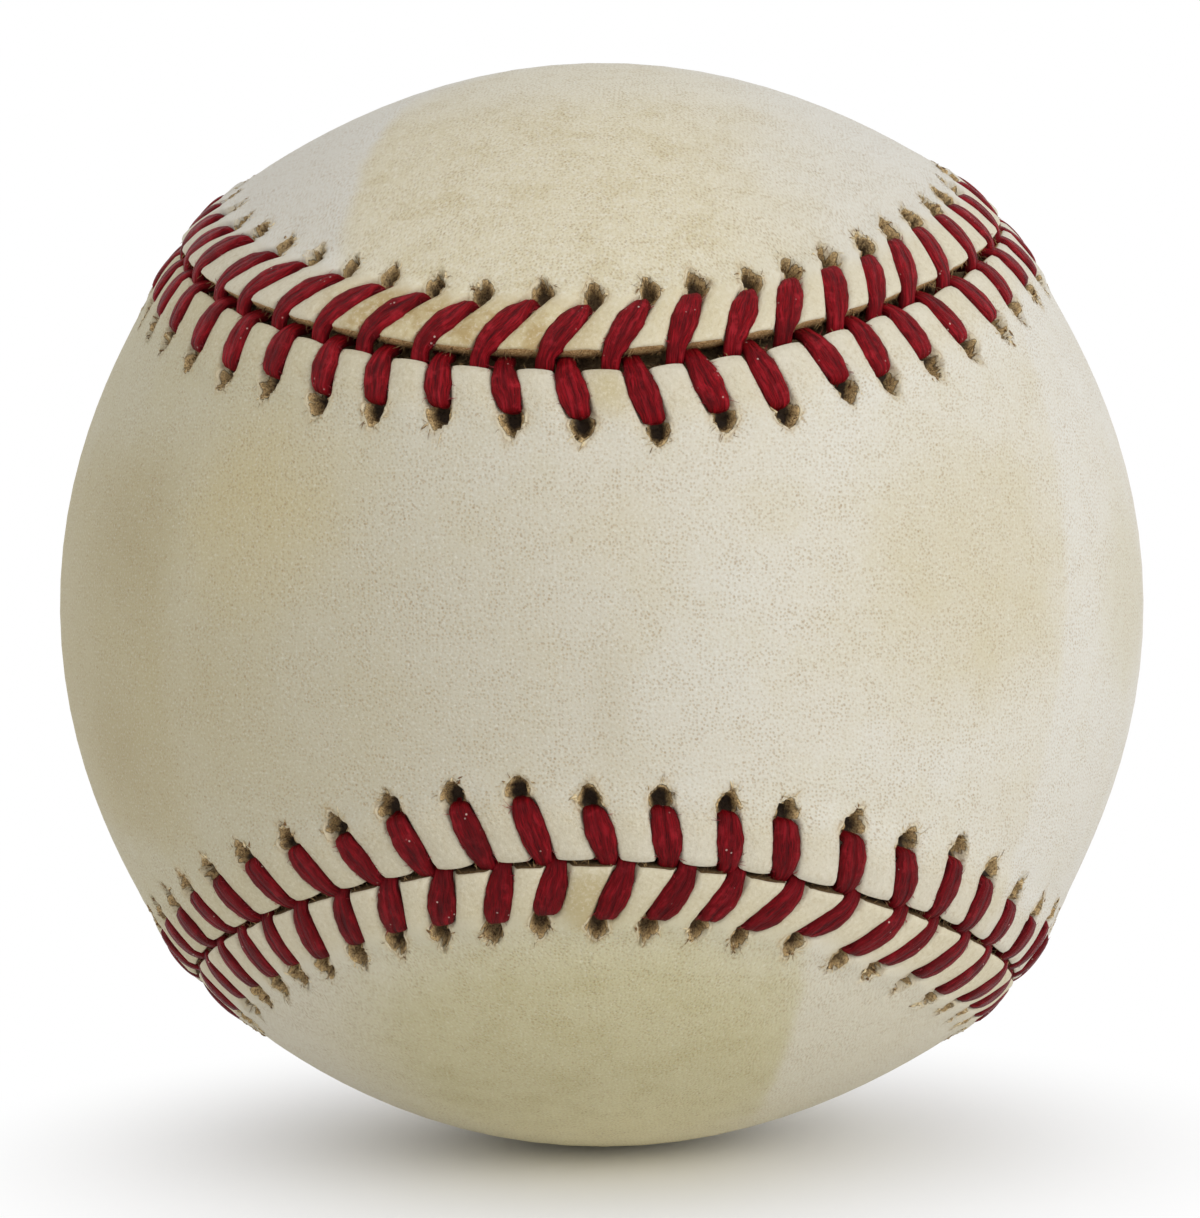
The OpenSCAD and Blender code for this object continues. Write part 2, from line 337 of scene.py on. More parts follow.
def wrapped_grid(name, points, pattern):
    """A grid whose corners are moved to the points, with a UV map of the pattern's places."""
    rows, columns = points.shape[0] - 1, points.shape[1] - 1
    deselect()
    bpy.ops.mesh.primitive_grid_add(x_subdivisions=columns, y_subdivisions=rows, size=1)
    obj = bpy.context.object
    obj.name = name
    mesh = obj.data
    flat = np.empty(len(mesh.vertices) * 3)
    mesh.vertices.foreach_get("co", flat)
    flat = flat.reshape(-1, 3)
    column = np.rint((flat[:, 0] + 0.5) * columns).astype(int)
    row = np.rint((flat[:, 1] + 0.5) * rows).astype(int)
    mesh.vertices.foreach_set("co", points[row, column].ravel())
    corners = np.empty(len(mesh.loops), dtype=int)
    mesh.loops.foreach_get("vertex_index", corners)
    layer = mesh.uv_layers.active
    layer.name = "pattern"
    layer.data.foreach_set("uv", pattern[row, column][corners].ravel())
    mesh.update()
    return obj


def welded(parts, name, cap_sides=0):
    """Joins parts into one closed piece, welds what meets and turns its faces outwards."""
    deselect()
    for part in parts:
        part.select_set(True)
    bpy.context.view_layer.objects.active = parts[0]
    if len(parts) > 1:
        bpy.ops.object.join()
    obj = bpy.context.object
    obj.name = name
    bpy.ops.object.mode_set(mode="EDIT")
    bpy.ops.mesh.select_all(action="SELECT")
    bpy.ops.mesh.remove_doubles(threshold=WELD_WITHIN)
    if cap_sides:
        bpy.ops.mesh.select_all(action="SELECT")
        bpy.ops.mesh.fill_holes(sides=cap_sides)
    bpy.ops.mesh.select_all(action="SELECT")
    bpy.ops.mesh.normals_make_consistent(inside=False)
    bpy.ops.object.mode_set(mode="OBJECT")
    bpy.ops.object.shade_smooth()
    return obj


# Leather panels

# Columns of points from one leg to the next, in stitches: close at the leg and its hole
HALF_COLUMNS = [0, 0.055, 0.11, 0.155, 0.185, 0.21, 0.235, 0.28, 0.38]
COLUMNS = np.array(HALF_COLUMNS + [0.5] + [1 - share for share in HALF_COLUMNS[:0:-1]])
EDGE_ACROSS = {-1: 0.5 * MM, 1: 0.55 * MM}
# The seam is open round the first stitch, and closes to this share less further along
SEAM_NARROW = 0.68
SEAM_WIDE_POWER = 24
# Rows of points of the raised edge, as distances from the cut edge: under the leather,
# up the cut wall as shares of its height, then over the top past the holes to the foot
UNDER_ROWS = np.array([6.9, 4.6, 2.6, 1.1, 0.2]) * MM
WALL_ROWS = np.array([0.08, 0.35, 0.65, 0.88])
TOP_ROWS = np.array([
    0.05, 0.14, 0.28, 0.48, 0.75, 1.1, 1.5, 1.9, 2.3, 2.6, 2.85, 3.05,
    3.25, 3.45, 3.65, 3.85, 4.05, 4.25, 4.45, 4.7, 5.05, 5.5, 6.1, 6.9,
]) * MM
RIB_STEPS = 22
UNDER_RIB_STEPS = 7
# A rib's points are closer at its feet, and this share of their spacing is even
RIB_EVEN = 0.6
LEAST_TURN = 1e-9
PATTERN_WALL = -1.0
PATTERN_UNDER = -3.0
PATTERN_PLAIN = 12.0
HOLE_PAST_LEG = 0.55 * MM
HOLE_AHEAD = {-1: 0.1 * MM, 1: 0.36 * MM}
HOLE_LENGTH = 0.85 * MM
HOLE_WIDTH = {-1: 0.62 * MM, 1: 0.7 * MM}
HOLE_DEPTH = 1.05 * MM
# A hole is this share narrower at its far end, and fully so at the second share of its reach
HOLE_POINT = 0.7
HOLE_POINT_AT = 1.3
TRENCH_DEPTH = {-1: 0.52 * MM, 1: 0.46 * MM}
TRENCH_FLOOR = 0.58 * MM
TRENCH_RIM = 0.84 * MM
PUCKER = {-1: 0.22 * MM, 1: 0.2 * MM}
ROLL = {-1: 0.18 * MM, 1: 0.12 * MM}
ROLL_WIDTH = {-1: 0.6 * MM, 1: 0.4 * MM}
ROLL_POWER = 1.5
SCALLOP = {-1: 0.28 * MM, 1: 0.14 * MM}
SCALLOP_SHARPNESS = 5
# Two waves of each hole's ragged rim: depth, number round the hole and share of the hole's turn
HOLE_RAGGED = ((0.12, 5, 40), (0.1, 8, 90))
# Waves of the leather: number round the seam, slant across it and share of the seed
RIPPLES = ((37, 0.9, 1.0), (61, -1.3, 2.1), (89, 2.1, 3.7))
RIPPLE_HEIGHT = 0.05 * MM
RIPPLE_TO = 6 * MM
RIPPLE_FADE = 2 * MM
# The puckers and the thread's trench end this far past the holes' even place
PUCKER_PAST = 0.3 * MM
PUCKER_FADE = 1.5 * MM
TRENCH_END = 0.3 * MM
# A hole's bottom, wall and lip, as shares of its reach
PIT_BOTTOM = 0.68
PIT_WALL = 0.36
LIP_REACH = 1.24
LIP_SPREAD = 0.2
LIP_HEIGHT = 0.09 * MM
# The astray stitches draw the leather with them this far, and less and less further out
SEWN_TO = 4.5 * MM
SEWN_FADE = 2.3 * MM
# Rows under the leather that are nearer than this to the cut edge follow its scallops, and
# rows on top of it turn even over the second distance
EDGE_NEAR = 1 * MM
EDGE_BLEND = 1.6 * MM
WALL_ROUGHNESS = 0.035 * MM


def from_leg(along):
    """Distance along the seam from the nearest leg."""
    return (along - np.rint(along)) * PITCH


def ripple(along, across, seed):
    """A gentle unevenness of the leather, from a few fixed waves."""
    turn = 2 * math.pi * along
    out = across / MM
    waves = [np.sin(turn * n / STITCHES + out * slant + seed * k) for n, slant, k in RIPPLES]
    return sum(waves) / len(waves)


def hole_reach(side, along, across):
    """0 at the middle of the nearest hole, 1 at its ragged rim and more outside it."""
    x = from_leg(along) - HOLE_AHEAD[side]
    y = across - HOLE_ACROSS[side] - HOLE_PAST_LEG
    turn = nearest(UNEVEN[side]["hole_turn"], along)
    x, y = x * np.cos(turn) + y * np.sin(turn), y * np.cos(turn) - x * np.sin(turn)
    x = x / (HOLE_WIDTH[side] * nearest(UNEVEN[side]["hole_width"], along))
    y = y / (HOLE_LENGTH * nearest(UNEVEN[side]["hole_length"], along))
    x = x * (1 + HOLE_POINT * ease(y / HOLE_POINT_AT))
    bearing = np.arctan2(y, x)
    ragged = 1
    for depth, waves, share in HOLE_RAGGED:
        ragged = ragged + depth * np.sin(waves * bearing + share * turn)
    return np.hypot(x, y) / ragged


def even_edge(side, along):
    """Half of the seam's opening, on average along a few stitches."""
    wide = np.cos(math.pi * along / STITCHES) ** SEAM_WIDE_POWER
    return EDGE_ACROSS[side] * (1 - SEAM_NARROW * (1 - wide))


def edge_across(side, along):
    """Where the cut edge is: pulled back at each leg, rounded out between legs."""
    pull = SCALLOP[side] * np.abs(np.cos(math.pi * from_leg(along) / PITCH)) ** SCALLOP_SHARPNESS
    return even_edge(side, along) + pull * between_stitches(UNEVEN[side]["pucker"], along) \
        + RIPPLE_HEIGHT * ripple(along, 0, side)


def leather_top(side, along, across, from_edge):
    """Radius of the leather's outer face."""
    leg = np.abs(from_leg(along))
    past = across - HOLE_ACROSS[side]
    beside = leg * leg_lean(side, along, across) / nearest(UNEVEN[side]["thread_width"], along)
    stitched = 1 - ease((past - PUCKER_PAST) / PUCKER_FADE)
    trench = 1 - ease((beside - TRENCH_FLOOR) / (TRENCH_RIM - TRENCH_FLOOR))
    trench = TRENCH_DEPTH[side] * trench * (1 - ease(past / TRENCH_END))
    swell = np.sin(math.pi * leg / PITCH) ** 2
    pucker = PUCKER[side] * swell * stitched * nearest(UNEVEN[side]["pucker"], along + 0.5)
    roll = ROLL[side] * (1 - ease(from_edge / ROLL_WIDTH[side])) ** ROLL_POWER
    hole = hole_reach(side, along, across)
    pit = HOLE_DEPTH * (1 - ease((hole - PIT_BOTTOM) / PIT_WALL))
    lip = LIP_HEIGHT * np.exp(-(((hole - LIP_REACH) / LIP_SPREAD) ** 2))
    wave = RIPPLE_HEIGHT * ripple(along, across, side)
    wave = wave * (1 - ease((across - RIPPLE_TO) / RIPPLE_FADE))
    return COVER_R + lifted(side, along, across) + pucker + lip + wave - roll \
        - np.maximum(trench, pit)


def sewn_point(side, along, across, radius):
    """A point of the panel's edge, where the hand sewing draws it."""
    odd = {key: between_stitches(UNEVEN[side][key], along) for key in ("along", "across", "dip")}
    sewn = 1 - ease((across - SEWN_TO) / SEWN_FADE)
    start = DIP_ALONG[side] + odd["dip"]
    reach = HOLE_ALONG[side] + odd["along"] * sewn - start
    stray = odd["across"] * np.clip(across / HOLE_ACROSS[side], 0, 1) * sewn
    place = along + start + reach * leg_rise(side, along, across)
    return seam_point(place, side * (across + stray), radius)


def panel_rows(side):
    """Points and pattern of the panel's raised edge, row by row."""
    along = np.append((np.arange(STITCHES)[:, None] + COLUMNS[None, :]).ravel(), STITCHES)
    edge = edge_across(side, along)
    plain_edge = even_edge(side, along)
    points, pattern = [], []

    def add_row(across, radius, mark):
        points.append(sewn_point(side, along, across, radius))
        pattern.append(np.stack([along, np.broadcast_to(mark, along.shape)], axis=-1))

    def base(across):
        return COVER_R + lifted(side, along, across) - LEATHER_T

    for distance in UNDER_ROWS:
        across = (edge if distance < EDGE_NEAR else plain_edge) + distance
        add_row(across, base(across), PATTERN_UNDER)
    top = leather_top(side, along, edge, np.zeros_like(edge))
    for share in WALL_ROWS:
        rough = WALL_ROUGHNESS * np.sin(along * 71 + share * 19) * np.sin(along * 29)
        add_row(edge + rough, base(edge) * (1 - share) + top * share, PATTERN_WALL * (1 - share))
    for distance in TOP_ROWS:
        away = ease(distance / EDGE_BLEND)
        across = edge * (1 - away) + plain_edge * away + distance
        add_row(across, leather_top(side, along, across, distance), across / MM)
    return np.array(points), np.array(pattern)


# Where the nearest place of the seam needn't be exact, every twelfth one is tried
COARSE = 12


def from_seam(directions):
    """The nearest place on the seam, in stitches, and the distance over the ball from it."""
    seam = seam_direction(SEAM_ANGLES[::COARSE])
    cosines = [row @ seam.T for row in directions]
    place = SEAM_RUN[::COARSE][np.array([np.argmax(row, axis=-1) for row in cosines])]
    distance = np.arccos(np.clip([np.max(row, axis=-1) for row in cosines], -1, 1))
    return place / SEAM_RUN[-1] * STITCHES, distance * COVER_R


def on_ball(side, points, depth):
    """The points moved to the leather's plain face, or to a depth under it."""
    directions = unit(points)
    return directions * (COVER_R + lifted(side, *from_seam(directions)) - depth)[..., None]


def panel_ribs(side, feet, steps, mark, depth):
    """Points and pattern of the ribs that cross the panel from foot to foot."""
    count = STITCHES * len(COLUMNS)
    tip = TIP_STITCH[side] * len(COLUMNS)
    rib = np.arange(count // 2 + 1)
    near, far = feet[(tip + rib) % count], feet[(tip - rib) % count]
    a, b = unit(near), unit(far)
    turn = np.arccos(np.clip(np.sum(a * b, axis=-1, keepdims=True), -1, 1))
    turn = np.maximum(turn, LEAST_TURN)
    step = np.linspace(0, 1, steps + 1)
    shares = RIB_EVEN * step + (1 - RIB_EVEN) * (1 - np.cos(math.pi * step)) / 2
    rows = [unit(np.sin(turn * (1 - share)) * a + np.sin(turn * share) * b) for share in shares]
    points = on_ball(side, np.array(rows), depth)
    pattern = np.broadcast_to([0.5, mark], points.shape[:2] + (2,))
    return points, pattern


def cover_panel(side, name):
    """One leather panel as a closed skin with its raised, pierced and puckered edge."""
    points, pattern = panel_rows(side)
    points[-1:] = on_ball(side, points[-1:], 0)
    points[:1] = on_ball(side, points[:1], LEATHER_T)
    points[:, -1] = points[:, 0]
    top = panel_ribs(side, points[-1], RIB_STEPS, PATTERN_PLAIN, 0)
    under = panel_ribs(side, points[0], UNDER_RIB_STEPS, PATTERN_UNDER, LEATHER_T)
    return welded([
        wrapped_grid(name, points, pattern),
        wrapped_grid(name + "_top", *top),
        wrapped_grid(name + "_under", *under),
    ], name)


# Thread

THREAD_SIDES = 14
STEPS_PER_STATION = 3
THREAD_UNDER_R = CEMENT_R + 0.55 * MM
THREAD_R = {-1: COVER_R + 0.68 * MM, 1: COVER_R + 0.82 * MM}
# A leg that leans over is this share narrower at its hole. It starts to be so where it runs
# the second number of stitches along the seam, and is fully so a third number further on.
LEANING_TIP = 0.5
LEANING_FROM = 0.45
LEANING_RANGE = 0.4
# The thread's outline: how square it is, and the groove between its two plies
THREAD_SQUARE = 0.85
GROOVE_DEPTH = 0.18
GROOVE_WIDTH = 0.3
THREAD_RAGGED = 0.06


def thread_top(side, along):
    """Radius of the legs' middle line, which follows the leather's height."""
    return THREAD_R[side] + lifted(side, along, 0.0) - SEAM_LIFT[side]


def leg_ends(side, stitch):
    """Places of a leg's hole and of its start in the seam, the hole's reach and the leg's top."""
    odd = UNEVEN[side]
    i = stitch % STITCHES
    hole = stitch + HOLE_ALONG[side] + odd["along"][i]
    dip = stitch + DIP_ALONG[side] + odd["dip"][i]
    return hole, dip, HOLE_ACROSS[side] + odd["across"][i], \
        thread_top(side, stitch) + odd["thread_lift"][i]


def leg_stations(stitch, side):
    """One stitch of a needle's run: along, across, radius, width and thickness of the thread."""
    hole, dip, reach, top = leg_ends(side, stitch)
    width = UNEVEN[side]["thread_width"][stitch % STITCHES]
    tip = 1 - LEANING_TIP * ease((hole - dip - LEANING_FROM) / LEANING_RANGE)

    def on_leg(share, lower, wide):
        along = dip + (hole - dip) * share ** leg_bend(side, stitch)
        return along, side * reach * share, top - lower, wide * width * THREAD_W, THREAD_T

    over = -side * 0.3 * MM
    return [
        (hole, side * (reach - 0.36 * MM), THREAD_UNDER_R, 0.6 * THREAD_W, 0.9 * THREAD_T),
        (hole, side * (reach - 0.4 * MM), top - 0.95 * MM, 0.76 * tip * THREAD_W, 0.9 * THREAD_T),
        on_leg(0.91, 0.2 * MM, 0.84 * tip),
        on_leg(0.8, 0.02 * MM, 0.97 * tip**0.4),
        on_leg(0.64, -0.04 * MM, 1.08),
        on_leg(0.45, -0.04 * MM, 1.08),
        on_leg(0.26, 0.04 * MM, 0.93),
        on_leg(0.09, 0.26 * MM, 0.72),
        (dip, over, top - 0.8 * MM, 0.72 * THREAD_W, THREAD_T),
        (dip - 0.02, 2.4 * over, THREAD_UNDER_R + 0.12 * MM, 0.6 * THREAD_W, 0.9 * THREAD_T),
        (dip - 0.25, -side * 0.5 * reach, THREAD_UNDER_R, 0.8 * THREAD_W, 0.85 * THREAD_T),
    ]


def smooth_run(stations, steps):
    """Places between the stations on one smooth curve through them all."""
    padded = np.concatenate([stations[:1], stations, stations[-1:]])
    a, b, c, d = padded[:-3], padded[1:-2], padded[2:-1], padded[3:]
    rows = []
    for k in range(steps):
        t = k / steps
        rows.append(0.5 * (
            2 * b + (c - a) * t
            + (2 * a - 5 * b + 4 * c - d) * t**2 + (3 * b - a - 3 * c + d) * t**3
        ))
    smooth = np.stack(rows, axis=1).reshape(-1, stations.shape[1])
    return np.concatenate([smooth, stations[-1:]])


def thread_run(first_side, name):
    """One needle's run of thread, in one unbroken length round the whole seam."""
    legs = [leg_stations(-i, first_side if i % 2 == 0 else -first_side) for i in range(STITCHES)]
    stations = np.array([station for leg in legs for station in leg])
    along, across, radius, width, thick = smooth_run(stations, STEPS_PER_STATION).T
    middle = seam_point(along, across, radius)
    _, run, _ = seam_frame(along)
    ahead = unit(np.gradient(middle, axis=0))
    beside = unit(run - ahead * np.sum(run * ahead, axis=-1, keepdims=True))
    above = np.cross(ahead, beside)
    length = np.concatenate([[0], np.cumsum(np.linalg.norm(np.diff(middle, axis=0), axis=1))])
    turn = 2 * math.pi * np.arange(THREAD_SIDES + 1) / THREAD_SIDES
    flat = np.sign(np.sin(turn)) * np.abs(np.sin(turn)) ** THREAD_SQUARE
    groove = 1 - GROOVE_DEPTH * np.exp(-((np.cos(turn) / GROOVE_WIDTH) ** 2))
    ragged = 1 + THREAD_RAGGED * np.sin(length / MM * 5.1) * np.sin(length / MM * 1.9 + 1)
    wide = (np.cos(turn)[None, :] * (width * ragged)[:, None] / 2)[..., None]
    high = ((flat * groove)[None, :] * thick[:, None] / 2)[..., None]
    points = middle[:, None] + beside[:, None] * wide + above[:, None] * high
    around = np.broadcast_to(turn / (2 * math.pi), points.shape[:2])
    pattern = np.stack([around, np.broadcast_to(length[:, None] / MM, around.shape)], axis=-1)
    return welded([wrapped_grid(name, points, pattern)], name, cap_sides=THREAD_SIDES)


# Loose fibres: torn leather round the holes, fuzz on the cut edges, hairs of the thread.
# Each function's draws are shares, and the numbers beside them are the least and the range.

HOLE_FIBRES = 15
EDGE_FIBRES = 16
THREAD_FIBRES = 14
FIBRE_R = 0.03 * MM
FIBRE_SHARES = np.array([0.0, 0.4, 0.75, 1.0])
FIBRE_TAPER = np.array([1.0, 0.85, 0.55, 0.12])
FIBRE_SIDES = 3
# Height over the leather where a hole's fibre starts
HOLE_FIBRE_ROOT = -0.12 * MM


def strands(name, start, middle, end, radius):
    """Thin tapered fibres, each bent from its start past its middle to its end."""
    count = len(start)
    share = FIBRE_SHARES[None, :, None]
    line = start[:, None] * (1 - share) ** 2 + middle[:, None] * 2 * share * (1 - share)
    line = line + end[:, None] * share**2
    ahead = unit(end - start)
    beside = unit(np.cross(ahead, start))
    above = np.cross(beside, ahead)
    turn = 2 * math.pi * np.arange(FIBRE_SIDES) / FIBRE_SIDES
    ring = beside[:, None] * np.cos(turn)[:, None] + above[:, None] * np.sin(turn)[:, None]
    reach = (radius[:, None] * FIBRE_TAPER)[:, :, None, None]
    points = (line[:, :, None] + ring[:, None] * reach).reshape(-1, 3)
    rings = len(FIBRE_SHARES)
    size = rings * FIBRE_SIDES
    faces = [tuple(range(FIBRE_SIDES))[::-1], tuple(range(size - FIBRE_SIDES, size))]
    for k in range(rings - 1):
        for j in range(FIBRE_SIDES):
            a, b = k * FIBRE_SIDES + j, k * FIBRE_SIDES + (j + 1) % FIBRE_SIDES
            faces.append((a, b, b + FIBRE_SIDES, a + FIBRE_SIDES))
    mesh = bpy.data.meshes.new(name)
    every = [tuple(i * size + corner for corner in face) for i in range(count) for face in faces]
    mesh.from_pydata(points.tolist(), [], every)
    obj = bpy.data.objects.new(name, mesh)
    bpy.context.collection.objects.link(obj)
    return welded([obj], name)


def hole_fibres(side):
    """Torn leather fibres that stand out of each hole's rim, mostly away from the seam."""
    stitch = np.repeat(np.arange(STITCHES), HOLE_FIBRES)
    draws = hand.uniform(0, 1, (6, len(stitch)))
    bearing = math.pi * (1.24 * draws[0] - 0.12)
    rim = 0.72 + 0.3 * draws[1]
    out = rim + 0.25 + 0.75 * draws[2] ** 1.5
    swirl = (draws[3] - 0.5) * 0.9
    middle_y = HOLE_ACROSS[side] + HOLE_PAST_LEG

    def at(angle, reach, height):
        along = stitch + (HOLE_AHEAD[side] + np.cos(angle) * reach * HOLE_WIDTH[side]) / PITCH
        across = middle_y + np.sin(angle) * reach * HOLE_LENGTH
        top = leather_top(side, along, across, across - EDGE_ACROSS[side])
        return sewn_point(side, along, across, np.maximum(top, COVER_R) + height)

    shred = np.where(draws[5] > 0.88, 3.0, 1.0)
    rise = (0.06 + 0.12 * draws[4]) * MM
    start = at(bearing, rim, HOLE_FIBRE_ROOT)
    end = at(bearing + swirl, out, rise * 0.2)
    middle = at(bearing + swirl * 0.3, (rim + out) / 2, rise)
    return start, middle, end, FIBRE_R * (0.6 + 0.6 * draws[5]) * shred


def edge_fibres(side):
    """Fuzz of the leather's cut edge, hanging into the seam."""
    along = hand.uniform(0, STITCHES, STITCHES * EDGE_FIBRES)
    draws = hand.uniform(0, 1, (6, len(along)))
    edge = edge_across(side, along)
    top = leather_top(side, along, edge, np.zeros_like(edge))
    depth = (0.12 + 0.9 * draws[0]) * MM
    start = sewn_point(side, along, edge + 0.08 * MM, top - depth)
    shift = (draws[1] - 0.5) * 0.3
    out = edge - (0.12 + 0.4 * draws[2]) * MM
    end = sewn_point(side, along + shift, out, top - depth - (draws[3] - 0.35) * 0.5 * MM)
    raised = top - depth + 0.1 * draws[4] * MM
    middle = sewn_point(side, along + shift * 0.2, (edge + out) / 2, raised)
    return start, middle, end, FIBRE_R * (0.5 + 0.6 * draws[5])


def thread_fibres(side):
    """Broken hairs that stand off the edges of each leg."""
    stitch = np.repeat(np.arange(STITCHES), THREAD_FIBRES)
    draws = hand.uniform(0, 1, (6, len(stitch)))
    hole, dip, reach, top = leg_ends(side, stitch)
    edge = np.where(draws[0] < 0.5, -1, 1)

    def at(share, beside, height):
        along = dip + (hole - dip) * share ** leg_bend(side, stitch) + edge * beside / PITCH
        return seam_point(along, side * reach * share, top + height)

    share = 0.12 + 0.8 * draws[1]
    ahead = np.clip(share + (draws[2] - 0.4) * 0.3, 0.02, 1.05)
    off = (0.08 + 0.34 * draws[3] ** 2) * MM
    start = at(share, 0.3 * THREAD_W, 0.1 * MM)
    middle = at((share + ahead) / 2, 0.46 * THREAD_W + off * 0.5, 0.2 * MM)
    end = at(ahead, 0.46 * THREAD_W + off, 0.12 * draws[4] * MM)
    return start, middle, end, FIBRE_R * (0.4 + 0.4 * draws[5])


# Finishes

WHITE = (1, 1, 1, 1)


def srgb(*levels):
    """A colour as the shader takes it, from its 0 to 255 screen values."""
    shares = [level / 255 for level in levels]
    return (*(v / 12.92 if v <= 0.04045 else ((v + 0.055) / 1.055) ** 2.4 for v in shares), 1.0)


class Value:
    """A shader socket that adds Math nodes when it is used in sums."""

    def __init__(self, nodes, socket):
        self.nodes = nodes
        self.socket = socket

    def math(self, operation, *others):
        return self.nodes.node("ShaderNodeMath", {"operation": operation}, self, *others)

    def __add__(self, other):
        return self.math("ADD", other)

    def __sub__(self, other):
        return self.math("SUBTRACT", other)

    def __rsub__(self, other):
        return self.nodes.node("ShaderNodeMath", {"operation": "SUBTRACT"}, other, self)

    def __mul__(self, other):
        return self.math("MULTIPLY", other)

    def __truediv__(self, other):
        return self.math("DIVIDE", other)

    __radd__ = __add__
    __rmul__ = __mul__

    def step(self, low, high):
        """0 at low, 1 at high and a smooth step between."""
        settings = {"interpolation_type": "SMOOTHSTEP", "clamp": True}
        return self.nodes.node("ShaderNodeMapRange", settings, self, low, high, 0.0, 1.0)


class Nodes:
    """A node tree under construction, of a material or of the world."""

    def __init__(self, tree, output):
        self.tree = tree
        tree.nodes.clear()
        self.surface = tree.nodes.new(output).inputs["Surface"]

    def node(self, kind, settings, *values, output=0, **named):
        """A node of any kind: its settings first, then values or links for its sockets."""
        node = self.tree.nodes.new(kind)
        for key, value in settings.items():
            setattr(node, key, value)
        for key, value in list(enumerate(values)) + list(named.items()):
            self.feed(node.inputs[key], value)
        return Value(self, node.outputs[output])

    def feed(self, socket, value):
        if isinstance(value, Value):
            self.tree.links.new(value.socket, socket)
        else:
            socket.default_value = value

    def white_rays(self):
        """1 where the camera, a reflection or glass sees the surface."""
        rays = self.tree.nodes.new("ShaderNodeLightPath").outputs
        seen = Value(self, rays["Is Camera Ray"])
        for kind in ("Is Glossy Ray", "Is Transmission Ray"):
            seen = seen.math("MAXIMUM", Value(self, rays[kind]))
        return seen


class Finish(Nodes):
    """A material under construction, with its colour so far."""

    def __init__(self, name):
        self.material = bpy.data.materials.new(name)
        self.material.use_nodes = True
        super().__init__(self.material.node_tree, "ShaderNodeOutputMaterial")
        self.shader = self.tree.nodes.new("ShaderNodeBsdfPrincipled")
        self.tree.links.new(self.shader.outputs[0], self.surface)
        # The surface's place on the object, in metres
        self.place = self.node("ShaderNodeTexCoord", {}, output=3)
        self.colour = None

    def pattern(self):
        """The two parts of the piece's own pattern map."""
        return self.parts(self.node("ShaderNodeUVMap", {"uv_map": "pattern"}))[:2]

    def noise(self, size, detail=2.0, roughness=0.5, at=None):
        """Noise whose lumps are about a size across, on the object or on a map of it."""
        named = {"Vector": at or self.place, "Scale": 1 / size, "Detail": detail}
        settings = {"noise_dimensions": "3D"}
        return self.node("ShaderNodeTexNoise", settings, Roughness=roughness, **named)

    def cells(self, size, scatter=1.0, at=None, dimensions="3D"):
        """Distance from the middles of scattered cells of a size, as a share of the size."""
        named = {"Vector": at or self.place, "Scale": 1 / size, "Randomness": scatter}
        return self.node("ShaderNodeTexVoronoi", {"voronoi_dimensions": dimensions}, **named)

    def parts(self, vector):
        """The three parts of a vector."""
        parts = self.tree.nodes.new("ShaderNodeSeparateXYZ")
        self.feed(parts.inputs[0], vector)
        return [Value(self, output) for output in parts.outputs]

    def vector(self, x, y, z=0.0):
        return self.node("ShaderNodeCombineXYZ", {}, x, y, z)

    def from_place(self, operation, point):
        """The distance or the dot product of the place and a point."""
        settings = {"operation": operation}
        return self.node("ShaderNodeVectorMath", settings, self.place, point, output=1)

    def spot(self, pixel, radius, soft, wander):
        """1 round a pixel of the photograph, with a soft rim. Its sizes are in millimetres."""
        distance = self.from_place("DISTANCE", seen_at(*pixel)) + wander
        return distance.step(radius * MM + soft * MM, radius * MM - soft * MM)

    def beyond(self, edge, soft, wander):
        """1 on the right of the line between an edge's two pixels, seen from the first one."""
        start, end = edge
        across = seen_at(*end).cross(seen_at(*start)).normalized()
        side = self.from_place("DOT_PRODUCT", across) + wander
        return side.step(-soft * MM, soft * MM)

    def mix(self, share, a, b):
        """Colour a where the share is 0 and colour b where it is 1."""
        node = self.tree.nodes.new("ShaderNodeMix")
        node.data_type = "RGBA"
        node.clamp_factor = True
        for socket, value in ((0, share), (6, a), (7, b)):
            self.feed(node.inputs[socket], value)
        return Value(self, node.outputs[2])

    def tones(self, share, first, second):
        """Starts the finish's colour: the first tone where the share is 0, the second at 1."""
        self.colour = self.mix(share, srgb(*first), srgb(*second))

    def tint(self, share, *colour):
        """Adds a colour to the finish: none of it where the share is 0, only it where it is 1."""
        self.colour = self.mix(share, self.colour, srgb(*colour))

    def bump(self, height, depth):
        return self.node("ShaderNodeBump", {}, Strength=1.0, Distance=depth, Height=height)

    def done(self, **sockets):
        """Sets the shader's sockets and gives the finished material."""
        self.feed(self.shader.inputs["Base Color"], self.colour)
        for key, value in sockets.items():
            self.feed(self.shader.inputs[key.replace("_", " ")], value)
        return self.material


# Stains on the leather, and places of painted light and shade, by the pixels of the photograph
# where they lie. A part that has an edge lies on its right, seen from the edge's first pixel.
TOP_STAIN = (600, 150)
TOP_STAIN_EDGE = ((346, 290), (424, 60))
TOP_FADE_EDGE = ((690, 60), (770, 270))
BOTTOM_STAIN = (600, 1070)
BOTTOM_STAIN_EDGE = ((802, 930), (748, 1120))
# Painted light: the bottom rim is made lighter to offset the floor's shadow under the ball
BOTTOM_RIM_PAINTED_LIGHT = (600, 1160)
# Edge of the left part's broad darkening, which is partly stain and partly painted shade
LEFT_FADE_EDGE = ((420, 300), (400, 900))
LEFT_STAIN_EDGE = ((204, 420), (192, 820))
LEFT_TOP_EDGE = ((60, 446), (300, 458))
LEFT_FOOT_EDGE = ((260, 836), (60, 822))
LEFT_DARK = (130, 545)
LEFT_LOW_DARK = (118, 750)
LEFT_FOOT_TINT = (205, 690)
LEFT_YELLOW = (258, 505)
MIDDLE_GRIME = (430, 680)
RIGHT_STAIN = (975, 568)
RIGHT_STAIN_EDGE = ((1036, 380), (1040, 760))
RIGHT_RIM_STAIN = (1130, 590)
MIDDLE_TINT = (618, 525)
MIDDLE_BAND = (608, 705)
